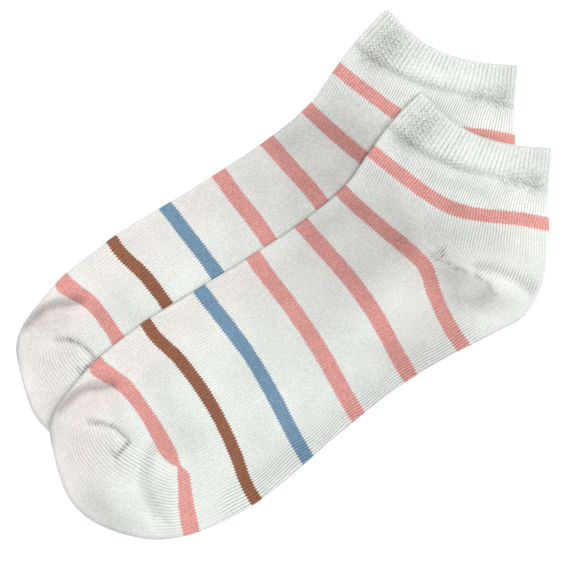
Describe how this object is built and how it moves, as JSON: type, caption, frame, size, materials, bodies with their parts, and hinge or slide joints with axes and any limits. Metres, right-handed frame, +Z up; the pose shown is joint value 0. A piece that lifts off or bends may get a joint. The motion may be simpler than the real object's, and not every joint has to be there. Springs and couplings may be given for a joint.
{
  "type": "pair of ankle socks",
  "caption": "Low-cut knitted socks lying flat on their sides, one partly over the other, with cross stripes, ribbed cuffs, heel pockets and toe pockets.",
  "frame": {"origin": "the middle of the pair's footprint, on the surface it lies on", "axes": "+X along the feet from toe to heel, +Y towards the instep and leg side, +Z up from the surface"},
  "size_m": [0.27, 0.1458, 0.0107],
  "materials": {
    "over_sock_cotton": "matte knitted cotton, off-white with rose, brown and blue-grey stripes",
    "under_sock_cotton": "matte knitted cotton, off-white with rose, brown and blue-grey stripes"
  },
  "bodies": {
    "root": {"over_sock": "over_sock_cotton", "under_sock": "under_sock_cotton"}
  },
  "joints": []
}
